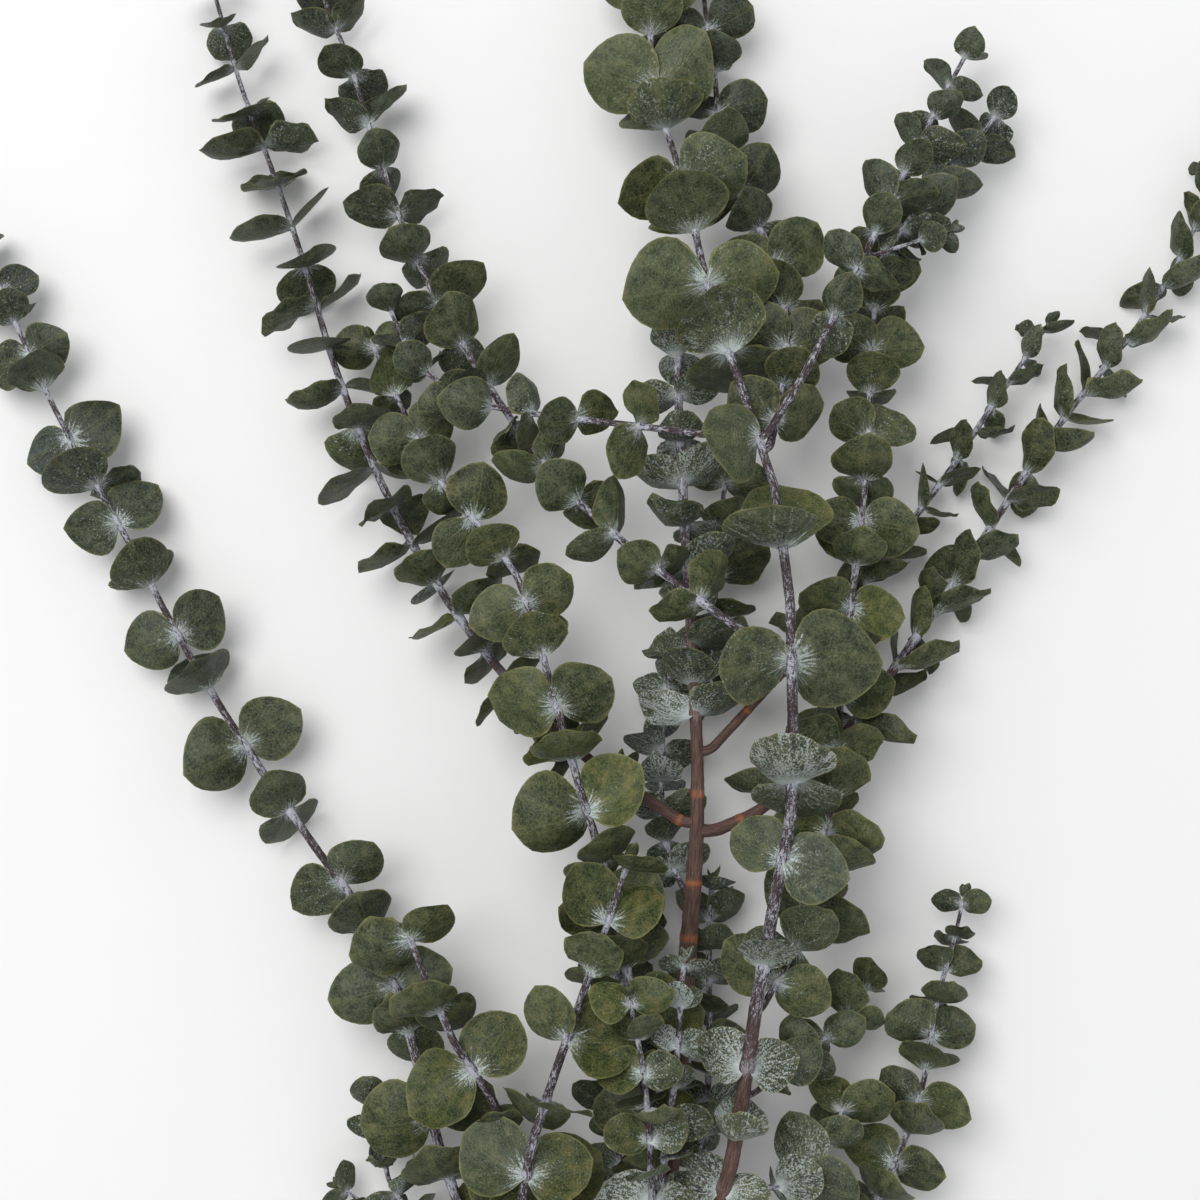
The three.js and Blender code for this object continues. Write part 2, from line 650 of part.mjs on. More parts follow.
const group = new THREE.Group();
const stretches = [];
const grown = SHOOTS.map((shoot) => {
  const stem = new Stem(shoot);
  const start = clearStart(stem, stretches);
  const places = pairPlaces(shoot, stem, start);
  stem.setRings(ringPlaces(start, places));
  for (let i = 0; i + 1 < stem.rings.length; i += 1) {
    const [from, to] = [stem.rings[i], stem.rings[i + 1]];
    stretches.push({
      shoot: shoot.name,
      a: from.middle,
      b: to.middle,
      radius: stem.radius(from.place),
    });
  }
  return { shoot, stem, places };
});

const blades = [];
grown.forEach(({ shoot, stem, places }, number) => {
  const random = seeded(number + 1);
  places.forEach((place, pair) => {
    const turn = rad(shoot.turn + 90 * pair + TURN_SPREAD * (2 * random() - 1));
    for (const opposite of [0, Math.PI]) {
      const blade = placeBlade(shoot, stem, place, turn + opposite, random, stretches, blades);
      if (blade) blades.push(blade);
    }
  });
});

for (const { shoot, stem } of grown) {
  const own = blades.filter((blade) => blade.shoot === shoot.name);
  const mesh = new THREE.Mesh(shootGeometry(stem, own), new THREE.MeshStandardMaterial({
    color: shoot.bark ? BARK_COLOUR : LEAF_COLOUR,
    roughness: shoot.bark ? BARK_ROUGHNESS : LEAF_ROUGHNESS,
    metalness: 0,
  }));
  mesh.name = shoot.name;
  group.add(mesh);
}

const box = new THREE.Box3().setFromObject(group);
const centre = box.getCenter(new THREE.Vector3());
group.position.set(-centre.x, -centre.y, -box.min.z);

export default group;
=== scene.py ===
"""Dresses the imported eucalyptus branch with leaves, stems and bark, on a plain pale table."""

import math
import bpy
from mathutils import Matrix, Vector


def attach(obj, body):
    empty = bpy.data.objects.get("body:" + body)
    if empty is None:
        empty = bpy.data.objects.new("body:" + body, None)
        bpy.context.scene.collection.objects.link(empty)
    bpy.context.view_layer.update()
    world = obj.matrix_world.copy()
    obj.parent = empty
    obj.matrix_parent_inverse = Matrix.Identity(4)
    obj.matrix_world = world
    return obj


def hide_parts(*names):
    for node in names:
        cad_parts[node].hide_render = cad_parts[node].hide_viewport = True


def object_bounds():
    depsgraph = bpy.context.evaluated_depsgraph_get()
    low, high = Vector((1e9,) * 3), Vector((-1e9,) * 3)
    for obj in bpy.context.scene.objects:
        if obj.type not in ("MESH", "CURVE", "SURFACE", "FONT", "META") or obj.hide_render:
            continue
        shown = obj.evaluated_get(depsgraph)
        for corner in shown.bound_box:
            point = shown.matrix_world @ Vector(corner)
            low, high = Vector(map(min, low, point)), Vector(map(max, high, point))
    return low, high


bl_info = {
    "name": "Eucalyptus Branch",
    "version": (1, 0, 0),
    "blender": (4, 5, 0),
    "location": "3D View > Sidebar > Eucalyptus",
    "description": "Grows the leaves, stems and bark of a cut eucalyptus branch on its packed frame",
    "category": "Object",
}

import bmesh
import bpy
import numpy as np
from bpy.props import FloatProperty, FloatVectorProperty, IntProperty, PointerProperty
from mathutils import Vector

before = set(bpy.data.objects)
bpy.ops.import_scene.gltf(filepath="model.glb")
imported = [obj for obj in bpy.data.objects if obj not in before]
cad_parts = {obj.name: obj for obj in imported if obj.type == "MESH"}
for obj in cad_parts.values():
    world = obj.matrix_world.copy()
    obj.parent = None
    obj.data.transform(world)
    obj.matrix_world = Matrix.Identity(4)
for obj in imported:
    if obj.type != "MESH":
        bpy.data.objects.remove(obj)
cad_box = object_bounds()

BODY = "root"
MAIN = "main_stem"
MM = 0.001

# ---------------------------------------------------------------- finishes of the shoots

# Each finish: how blue-grey the leaves are, how dark, and how much white bloom they keep, 0 to 1. How
# dark is partly the leaves' own colour and partly painted shade.
OLIVE = (0.12, 0.35, 0.22)
DEEP_OLIVE = (0.2, 0.6, 0.2)
GREY_GREEN = (0.55, 0.5, 0.38)
# Dark blue-grey; on the high right shoots it also paints the shade that they lie in.
SLATE = (0.9, 0.75, 0.35)
# Purple-grey, darkened as painted shade for the high right shoots behind the front leader.
SHADED_PURPLE_GREY = (1.0, 0.7, 0.4)
FROSTED = (0.5, 0.4, 0.8)
DIM_FROSTED = (0.6, 0.6, 0.6)
BLUE_GREEN = (0.7, 0.3, 0.5)

# Each shoot's finish at its foot and at its tip.
SHOOT_FINISHES = {
    "main_stem": (DIM_FROSTED, FROSTED),
    "front_leader": (FROSTED, OLIVE),
    "middle_left_shoot": (OLIVE, DEEP_OLIVE),
    "far_left_shoot": (OLIVE, SLATE),
    "left_fork": (OLIVE, GREY_GREEN),
    "right_fork": (DEEP_OLIVE, GREY_GREEN),
    "right_back_fork": (DEEP_OLIVE, GREY_GREEN),
    "upright_right_shoot": (OLIVE, DEEP_OLIVE),
    # The high right shoots lie in shade behind the front leader: their slate and purple-grey finishes
    # paint that shade over their own colour.
    "high_right_shoot": (GREY_GREEN, SLATE),
    "high_right_twin": (SLATE, SHADED_PURPLE_GREY),
    "high_right_twig": (SLATE, SHADED_PURPLE_GREY),
    "high_left_shoot": (OLIVE, SLATE),
    "crossing_left_shoot": (OLIVE, SLATE),
    "back_leader": (DEEP_OLIVE, SLATE),
    "front_left_shoot": (OLIVE, OLIVE),
    "broad_left_shoot": (OLIVE, DEEP_OLIVE),
    "left_twig": (BLUE_GREEN, BLUE_GREEN),
    "left_low_twig": (BLUE_GREEN, BLUE_GREEN),
    "inner_left_shoot": (FROSTED, OLIVE),
    "inner_front_shoot": (DIM_FROSTED, FROSTED),
    "inner_right_shoot": (OLIVE, OLIVE),
    "lower_right_twig": (GREY_GREEN, OLIVE),
    "lower_right_shoot": (DEEP_OLIVE, GREY_GREEN),
    "lower_right_side_twig": (FROSTED, OLIVE),
    "centre_low_shoot": (DIM_FROSTED, FROSTED),
    "centre_thin_shoot": (GREY_GREEN, OLIVE),
    "low_back_shoot": (DIM_FROSTED, GREY_GREEN),
    "low_back_left_shoot": (GREY_GREEN, DIM_FROSTED),
}

# How far brown bark reaches up from a shoot's foot, in metres; the others are young and dark.
BARK_REACH = {
    "main_stem": 0.35,
    "front_leader": 0.12,
    "left_fork": 0.055,
    "right_fork": 0.07,
    "right_back_fork": 0.06,
    "far_left_shoot": 0.05,
    "broad_left_shoot": 0.04,
}
FADING_BARK = 0.06  # metres over which it turns into young skin
MAIN_SCARS = (0.237, 0.260, 0.297)  # metres from the main stem's cut end to its orange rings


# ---------------------------------------------------------------- reading the frame

FOOT_GAP = 4 * MM  # the widest gap that a side shoot's foot bridges


class Leaf:
    """The place that the frame keeps for one leaf."""

    def __init__(self, base, tip, facing):
        reach = tip - base
        self.base = base
        self.length = np.linalg.norm(reach)
        self.along = reach / self.length
        self.facing = facing
        self.side = np.cross(self.along, facing)


class Shoot:
    """One CAD node of the frame, read back as the line of a stem and the leaves on it."""

    MERGE = 2e-6  # metres; corners nearer than this are one
    FLAT = math.cos(math.radians(0.5))  # the bend at an edge inside a flat face
    LEVEL = math.cos(math.radians(5))  # the same for a leaf's underside, which may hold slivers
    PEAK_FACES, FAN_FACES = 8, 5  # at the peak of a leaf's upper face, and in its underside
    CAP_FACES, RING_CORNERS = 3, 5  # of a stem's tube
    SQUARE_ENOUGH = 0.5
    SPAN_OF_WIDTH = math.sin(math.radians(60))  # how much of a leaf's width a six-sided blade spans

    def __init__(self, name, node):
        self.name = name
        mesh = bmesh.new()
        mesh.from_mesh(node.data)
        bmesh.ops.remove_doubles(mesh, verts=mesh.verts, dist=self.MERGE)
        mesh.normal_update()
        mesh.verts.index_update()
        mesh.faces.index_update()
        self.leaves = []
        taken = set()
        for vertex in mesh.verts:
            if len(vertex.link_faces) == self.PEAK_FACES:
                taken |= self.read_leaf(vertex)
        groups = self.flat_groups(mesh, taken)
        caps = [{v for face in group for v in face.verts} for group in groups if self.is_cap(group)]
        self.read_stem(caps, taken)
        mesh.free()
        self.find_stations()

    def flat_groups(self, mesh, taken):
        """Faces clear of the leaves, joined across edges that don't bend."""
        seen = {face for face in mesh.faces if not taken.isdisjoint(face.verts)}
        for first in mesh.faces:
            if first in seen:
                continue
            seen.add(first)
            group = [first]
            for face in group:
                for other in (o for e in face.edges for o in e.link_faces):
                    if other not in seen and other.normal.dot(first.normal) > self.FLAT:
                        seen.add(other)
                        group.append(other)
            yield group

    @staticmethod
    def border(group):
        """The edges round some faces, each with the face beyond it."""
        pairs = ((edge, other) for face in group for edge in face.edges for other in edge.link_faces)
        return [(edge, other) for edge, other in pairs if other not in group]

    def is_cap(self, group):
        """Whether a flat group closes an end of the stem's tube."""
        normal = group[0].normal
        square = (abs(o.normal.dot(normal)) < self.SQUARE_ENOUGH for _, o in self.border(group))
        return len(group) == self.CAP_FACES and all(square)

    def read_leaf(self, peak):
        """Adds the leaf whose upper face a corner is the peak of, if it is one.

        Its underside is a flat fan between the corners round the peak. Returns the leaf's corners.
        """
        ring = {edge.other_vert(peak) for edge in peak.link_edges}
        fan = sorted(
            {face for v in ring for face in v.link_faces if ring.issuperset(face.verts)},
            key=lambda face: face.index,
        )
        root = [edge for edge, face in self.border(fan) if peak not in face.verts]
        if len(fan) != self.FAN_FACES or len(root) != 1:
            return set()
        normal = max(fan, key=lambda face: face.calc_area()).normal
        if any(face.normal.dot(normal) < self.LEVEL for face in fan):
            return set()
        base = np.array(sum((v.co for v in root[0].verts), Vector()) / 2)
        corners = sorted({v for face in fan for v in face.verts}, key=lambda v: v.index)
        spots = np.array([v.co for v in corners])
        tip = spots[np.argmax(np.linalg.norm(spots - base, axis=1))]
        leaf = Leaf(base, tip, -np.array(normal))
        across = (spots - base) @ leaf.side
        leaf.width = (across.max() - across.min()) / self.SPAN_OF_WIDTH
        self.leaves.append(leaf)
        return ring | {peak}

    def read_stem(self, caps, taken):
        """Walks the rings of the stem's tube from its thick end."""
        if len(caps) != 2:
            raise RuntimeError(f"{self.name} has {len(caps)} stem ends, not 2")
        ring = max(caps, key=lambda cap: self.ring_of(cap)[1])
        seen = set(taken) | ring
        rings = [self.ring_of(ring)]
        while True:
            ring = {e.other_vert(v) for v in ring for e in v.link_edges} - seen
            if not ring:
                break
            if len(ring) != self.RING_CORNERS:
                raise RuntimeError(f"a stem ring of {self.name} has {len(ring)} corners")
            seen |= ring
            rings.append(self.ring_of(ring))
        self.centres = np.array([centre for centre, _ in rings])
        self.radii = np.array([radius for _, radius in rings])

    @staticmethod
    def ring_of(corners):
        """The middle and radius of a ring of corners."""
        spots = np.array([v.co for v in sorted(corners, key=lambda v: v.index)])
        middle = spots.mean(axis=0)
        return middle, np.linalg.norm(spots - middle, axis=1).mean()

    def find_stations(self):
        """Where each leaf stands, as a distance along the stem, and the stem's radius there."""
        self.marks = distances(self.centres)
        for leaf in self.leaves:
            leaf.station = nearest_on(self.centres, leaf.base)[1]
            leaf.stem_radius = np.interp(leaf.station, self.marks, self.radii)

    def root_in(self, others):
        """Starts the stem inside the shoot that it grows from, across the frame's small gap."""
        foot = self.centres[0]
        found = []
        for other in others:
            if other is self:
                continue
            spot, mark = nearest_on(other.centres, foot)
            gap = np.linalg.norm(spot - foot) - np.interp(mark, other.marks, other.radii)
            found.append((gap, spot))
        gap, spot = min(found, key=lambda row: row[0])
        reach = np.linalg.norm(spot - foot)
        if gap > self.radii[0] + FOOT_GAP:
            return
        for leaf in self.leaves:
            leaf.station += reach
        self.centres = np.vstack([spot, self.centres])
        self.radii = np.concatenate([self.radii[:1], self.radii])
        self.marks = distances(self.centres)


def distances(points):
    """How far along a line of points each one is."""
    steps = np.linalg.norm(np.diff(points, axis=0), axis=1)
    return np.concatenate([[0], np.cumsum(steps)])


def nearest_on(points, spot):
    """The place on a line of points nearest to a spot, and its distance along the line."""
    starts, steps = points[:-1], np.diff(points, axis=0)
    share = ((spot - starts) * steps).sum(axis=1) / (steps**2).sum(axis=1)
    share = share.clip(0, 1)
    places = starts + steps * share[:, None]
    best = np.argmin(np.linalg.norm(places - spot, axis=1))
    mark = distances(points)[best] + share[best] * np.linalg.norm(steps[best])
    return places[best], mark


def read_branch():
    """Every shoot of the frame, each side shoot rooted in the one that bears it."""
    shoots = [Shoot(name, node) for name, node in sorted(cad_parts.items())]
    for shoot in shoots:
        if shoot.name != MAIN:
            shoot.root_in(shoots)
    return shoots


BRANCH = read_branch()


# ---------------------------------------------------------------- node trees as expressions


class Wire:
    """A node's output socket, whose arithmetic adds Math nodes to its tree."""

    def __init__(self, graph, socket):
        self.graph = graph
        self.socket = socket

    def __getitem__(self, name):
        return Wire(self.graph, self.socket.node.outputs[name])

    def math(self, operation, *values):
        settings = {"operation": operation}
        return self.graph.node("ShaderNodeMath", settings, dict(enumerate(values)))

    def __add__(self, other):
        return self.math("ADD", self, other)

    def __sub__(self, other):
        return self.math("SUBTRACT", self, other)

    def __rsub__(self, other):
        return self.math("SUBTRACT", other, self)

    def __mul__(self, other):
        return self.math("MULTIPLY", self, other)

    def __truediv__(self, other):
        return self.math("DIVIDE", self, other)

    def __pow__(self, other):
        return self.math("POWER", self, other)

    def __gt__(self, other):
        return self.math("GREATER_THAN", self, other)

    def __abs__(self):
        return self.math("ABSOLUTE", self)

    __radd__ = __add__
    __rmul__ = __mul__

    def sine(self):
        return self.math("SINE", self)

    def cosine(self):
        return self.math("COSINE", self)

    def root(self):
        return self.math("SQRT", self)

    def angle_to(self, other):
        return self.math("ARCTAN2", self, other)

    def at_least(self, low):
        return self.math("MAXIMUM", self, low)

    def at_most(self, high):
        return self.math("MINIMUM", self, high)

    def power_of_e(self):
        return self.math("EXPONENT", self)

    def clamped(self):
        return self.at_most(1.0).at_least(0.0)

    def between(self, low, high):
        """0 below low, 1 above high, and a soft step from one to the other."""
        settings = {"interpolation_type": "SMOOTHSTEP"}
        inputs = {"Value": self, "From Min": low, "From Max": high}
        return self.graph.node("ShaderNodeMapRange", settings, inputs)

    def split(self):
        parts = self.graph.node("ShaderNodeSeparateXYZ", {}, {"Vector": self})
        return parts["X"], parts["Y"], parts["Z"]

    def vector(self, operation, other):
        settings = {"operation": operation}
        return self.graph.node("ShaderNodeVectorMath", settings, {0: self, 1: other})

    def scaled(self, factor):
        settings = {"operation": "SCALE"}
        return self.graph.node("ShaderNodeVectorMath", settings, {"Vector": self, "Scale": factor})


class Graph:
    """A node tree to which each call adds one node."""

    def __init__(self, tree):
        self.tree = tree

    def node(self, kind, settings, inputs, output=0):
        """Adds a node: its settings first, then the values or wires of its sockets."""
        made = self.tree.nodes.new(kind)
        for name, value in settings.items():
            setattr(made, name, value)
        for name, value in inputs.items():
            socket = made.inputs[name]
            if isinstance(value, Wire):
                self.tree.links.new(value.socket, socket)
            else:
                socket.default_value = value
        if not made.outputs:
            return made
        return Wire(self, made.outputs[output])

    def join(self, x, y, z):
        return self.node("ShaderNodeCombineXYZ", {}, {"X": x, "Y": y, "Z": z})

    def blend(self, factor, first, second):
        """A colour between two colours."""
        settings = {"data_type": "RGBA", "clamp_factor": True}
        return self.node("ShaderNodeMix", settings, {0: factor, 6: first, 7: second}, 2)

    def noise(self, place, scale, detail=2.0, roughness=0.5):
        inputs = {"Vector": place, "Scale": scale, "Detail": detail, "Roughness": roughness}
        return self.node("ShaderNodeTexNoise", {}, inputs)


class ShaderGraph(Graph):
    """A new material's tree, which ends in one Principled shader."""

    def __init__(self, name):
        self.material = bpy.data.materials.new(name)
        self.material.use_nodes = True
        super().__init__(self.material.node_tree)
        self.tree.nodes.clear()

    def attribute(self, name, output="Vector"):
        return self.node("ShaderNodeAttribute", {"attribute_name": name}, {}, output)

    def finish(self, bump, strength, distance, **sockets):
        """The shader itself. Sockets are named with underscores for their spaces."""
        inputs = {"Height": bump, "Strength": strength, "Distance": distance}
        normal = self.node("ShaderNodeBump", {}, inputs)
        inputs = {name.replace("_", " "): value for name, value in sockets.items()}
        shader = self.node("ShaderNodeBsdfPrincipled", {}, {"Normal": normal, **inputs})
        self.node("ShaderNodeOutputMaterial", {}, {"Surface": shader})
        return self.material


class GeometryGraph(Graph):
    """A new geometry tree with one geometry input and named inputs for its sizes."""

    KINDS = {"Object": "NodeSocketObject", "Material": "NodeSocketMaterial", "Int": "NodeSocketInt"}

    def __init__(self, name, **inputs):
        super().__init__(bpy.data.node_groups.new(name, "GeometryNodeTree"))
        panel = self.tree.interface
        panel.new_socket("Geometry", in_out="INPUT", socket_type="NodeSocketGeometry")
        panel.new_socket("Geometry", in_out="OUTPUT", socket_type="NodeSocketGeometry")
        for label, kind in inputs.items():
            panel.new_socket(
                label.replace("_", " "),
                in_out="INPUT",
                socket_type=self.KINDS.get(kind, "NodeSocketFloat"),
            )
        self.entry = self.node("NodeGroupInput", {}, {})

    def attribute(self, name, kind="FLOAT_VECTOR"):
        return self.node("GeometryNodeInputNamedAttribute", {"data_type": kind}, {"Name": name})

    def store(self, geometry, name, value, kind="FLOAT_VECTOR"):
        inputs = {"Geometry": geometry, "Name": name, "Value": value}
        return self.node("GeometryNodeStoreNamedAttribute", {"data_type": kind}, inputs)

    def finish(self, geometry):
        """Ends the tree in real geometry that wears its material."""
        real = self.node("GeometryNodeRealizeInstances", {}, {"Geometry": geometry})
        inputs = {"Geometry": real, "Material": self.entry["Finish"]}
        dressed = self.node("GeometryNodeSetMaterial", {}, inputs)
        self.node("NodeGroupOutput", {}, {0: dressed})
        return self.tree


def grow(name, seed_mesh, tree, material, **inputs):
    """Runs a geometry tree on a mesh and returns its result as a plain object."""
    carrier = bpy.data.objects.new(name + "_carrier", seed_mesh)
    bpy.context.scene.collection.objects.link(carrier)
    modifier = carrier.modifiers.new("grow", "NODES")
    modifier.node_group = tree
    values = {key.replace("_", " "): value for key, value in inputs.items()}
    values["Finish"] = material
    for item in tree.interface.items_tree:
        if item.in_out == "INPUT" and item.name in values:
            modifier[item.identifier] = values[item.name]
    graph = bpy.context.evaluated_depsgraph_get()
    mesh = bpy.data.meshes.new_from_object(carrier.evaluated_get(graph))
    mesh.name = name
    carrier.modifiers.remove(modifier)
    bpy.data.objects.remove(carrier)
    made = bpy.data.objects.new(name, mesh)
    bpy.context.scene.collection.objects.link(made)
    return made


def point_mesh(name, points, edges, **attributes):
    """A mesh of bare points that carry named numbers and vectors."""
    mesh = bpy.data.meshes.new(name)
    mesh.from_pydata([tuple(point) for point in points], edges, [])
    for key, values in attributes.items():
        values = np.asarray(values, dtype=np.float32)
        kind, field = ("FLOAT_VECTOR", "vector") if values.ndim == 2 else ("FLOAT", "value")
        mesh.attributes.new(key, kind, "POINT").data.foreach_set(field, values.ravel())
    return mesh


# ---------------------------------------------------------------- sizes and colours


class BranchSizes(bpy.types.PropertyGroup):
    """Sizes that a user may change."""

    leaf_thickness: FloatProperty(
        name="Leaf thickness", description="At the middle of a blade", default=0.45 * MM, unit="LENGTH"
    )
    hollow: FloatProperty(
        name="Hollow", description="How deep a blade is cupped, over its length", default=0.08
    )
    crease: FloatProperty(
        name="Crease", description="How far a blade folds up from its midrib", default=0.16
    )
    curl: FloatProperty(
        name="Curl", description="How far a blade's tip bends back, over its length", default=0.07
    )
    ripple: FloatProperty(
        name="Ripple", description="How wavy a blade's rim is, over its length", default=0.05
    )
    stem_step: FloatProperty(
        name="Stem step", description="From ring to ring of a stem", default=1.5 * MM, unit="LENGTH"
    )
    stem_sides: IntProperty(name="Stem sides", description="Faces round a stem", default=10)
    node_swelling: FloatProperty(
        name="Node swelling", description="How much wider a stem is where leaves grow", default=0.16
    )
    bud_length: FloatProperty(
        name="Bud length", description="Of the small leaves at a tip", default=7 * MM, unit="LENGTH"
    )


def colour(name, description, default):
    """A colour property."""
    return FloatVectorProperty(
        name=name, description=description, subtype="COLOR", size=4, min=0, max=1, default=default
    )


def srgb(red, green, blue):
    """The scene's linear colour for an 8-bit display colour."""
    shares = (part / 255 for part in (red, green, blue))
    linear = [s / 12.92 if s <= 0.04045 else ((s + 0.055) / 1.055) ** 2.4 for s in shares]
    return (*linear, 1.0)


class BranchColours(bpy.types.PropertyGroup):
    """Colours that a user may change."""

    olive: colour("Olive", "Leaves of the green shoots", srgb(70, 82, 40))
    tan: colour("Tan", "The dry patches of a green leaf", srgb(86, 84, 44))
    blue_grey: colour("Blue grey", "Leaves of the grey shoots", srgb(60, 70, 66))
    leaf_back: colour("Leaf back", "The underside of a leaf", srgb(80, 88, 72))
    leaf_rim: colour("Leaf rim", "The thin edge of a leaf", srgb(134, 132, 84))
    bloom: colour("Bloom", "The white wax on leaves", srgb(196, 205, 204))
    young_skin: colour("Young skin", "A young stem", srgb(48, 37, 41))
    flakes: colour("Flakes", "The white wax on stems", srgb(182, 184, 194))
    bark: colour("Bark", "The woody stem", srgb(101, 76, 66))
    dark_bark: colour("Dark bark", "Streaks of the woody stem", srgb(66, 48, 45))
    scar: colour("Scar", "Rings where leaves have fallen", srgb(178, 104, 54))
    cut_wood: colour("Cut wood", "The cut end", srgb(190, 160, 118))
    floor: colour("Floor", "The table", srgb(238, 237, 236))


# ---------------------------------------------------------------- leaves


CELLS = 6  # rows of faces along and across a blade
TIP_POINT = 0.035  # how far the tip and the base are drawn out, over the length
BASE_POINT = 0.05
FULLEST = -0.1  # below 0, the blade is widest below its middle
LYING = 2 * MM  # how near the table leaves start to bend along it


def blade_spot(column, row):
    """A square grid's corner, -1 to 1 both ways, moved to its place on a round, pointed blade."""
    across = column * math.sqrt(1 - row * row / 2)
    along = row * math.sqrt(1 - column * column / 2)
    peak = (1 - abs(across)) ** 6 * abs(along) ** 4
    reach = TIP_POINT if along > 0 else BASE_POINT
    width = across * (1 + FULLEST * along)
    return width / 2, (along + 1) / 2 + math.copysign(peak * reach, along)


def unit_blade():
    """One leaf blade, 1 long and 1 wide, as a closed lens of a few dozen faces."""
    lines = np.linspace(-1, 1, CELLS + 1)
    spots = [blade_spot(column, row) for row in lines for column in lines]
    ends = (0, CELLS)
    rim = [row in ends or column in ends for row in range(CELLS + 1) for column in range(CELLS + 1)]
    upper = [(*spot, 0 if at_rim else 0.5) for spot, at_rim in zip(spots, rim)]
    inner = [i for i, at_rim in enumerate(rim) if not at_rim]
    below = {i: len(upper) + order for order, i in enumerate(inner)}
    lower = [(*spots[i], -0.5) for i in inner]
    quads = []
    for row in range(CELLS):
        for column in range(CELLS):
            first = row * (CELLS + 1) + column
            quad = [first, first + 1, first + CELLS + 2, first + CELLS + 1]
            quads.append(quad)
            quads.append([below.get(i, i) for i in reversed(quad)])
    vertices = upper + lower
    rim += [False] * len(lower)
    mesh = bpy.data.meshes.new("blade")
    mesh.from_pydata(vertices, [], quads)
    for edge in mesh.edges:
        edge.use_edge_sharp = all(rim[i] for i in edge.vertices)
    for polygon in mesh.polygons:
        polygon.use_smooth = True
    place = mesh.attributes.new("place", "FLOAT_VECTOR", "POINT")
    place.data.foreach_set("vector", np.array(vertices, dtype=np.float32).ravel())
    at_rim = mesh.attributes.new("rim", "FLOAT", "POINT")
    at_rim.data.foreach_set("value", np.array(rim, dtype=np.float32))
    blade = bpy.data.objects.new("blade", mesh)
    bpy.context.scene.collection.objects.link(blade)
    return blade


def laid_down(graph, geometry):
    """Bends what would reach under the table back to lie on it."""
    x, y, height = graph.node("GeometryNodeInputPosition", {}, {}).split()
    sunk = (height - LYING).at_most(0.0)
    height = height.at_least(LYING)
    height = height + ((sunk / LYING).power_of_e() - 1) * LYING
    inputs = {"Geometry": geometry, "Position": graph.join(x, y, height)}
    return graph.node("GeometryNodeSetPosition", {}, inputs)


def leaf_tree():
    """Sets a blade on each point and bends it the way that the point's numbers say."""
    graph = GeometryGraph("leaves_on_points", Blade="Object", Thickness="Float", Finish="Material")
    blade = graph.node("GeometryNodeObjectInfo", {}, {"Object": graph.entry["Blade"]}, "Geometry")
    inputs = {"Points": graph.entry["Geometry"], "Instance": blade}
    placed = graph.node("GeometryNodeInstanceOnPoints", {}, inputs)
    real = graph.node("GeometryNodeRealizeInstances", {}, {"Geometry": placed})
    place = graph.attribute("place")
    x, y, z = place.split()
    length = graph.attribute("length", "FLOAT")
    width = graph.attribute("width", "FLOAT")
    seed = graph.attribute("seed", "FLOAT")
    hollow, crease, curl = graph.attribute("bending").split()
    ripple, twist, sway = graph.attribute("unevenness").split()
    fullness, lopside, _ = graph.attribute("outline").split()
    rounds = x * x * 4 + (y * y - y) * 4
    waves = (x * 9 + seed).sine() * (y * 8 + seed * 3).cosine() * (rounds + 1)
    rise = hollow * rounds + curl * y * y + twist * x * y + ripple * waves
    rise = rise * length + crease * width * abs(x) * (1.25 - y) + z * graph.entry["Thickness"]
    breadth = 1 + fullness * (y * 2 - 1) + lopside * x
    across = x * width * breadth + sway * length * y * y
    offset = graph.attribute("side").scaled(across)
    offset = offset.vector("ADD", graph.attribute("along").scaled(y * length))
    offset = offset.vector("ADD", graph.attribute("facing").scaled(rise))
    root = graph.node("GeometryNodeInputPosition", {}, {}).vector("SUBTRACT", place)
    inputs = {"Geometry": real, "Position": root.vector("ADD", offset)}
    bent = graph.node("GeometryNodeSetPosition", {}, inputs)
    bent = laid_down(graph, bent)
    spot = graph.join(x * width, y * length, seed * 0.1)
    return graph.finish(graph.store(bent, "spot", spot))


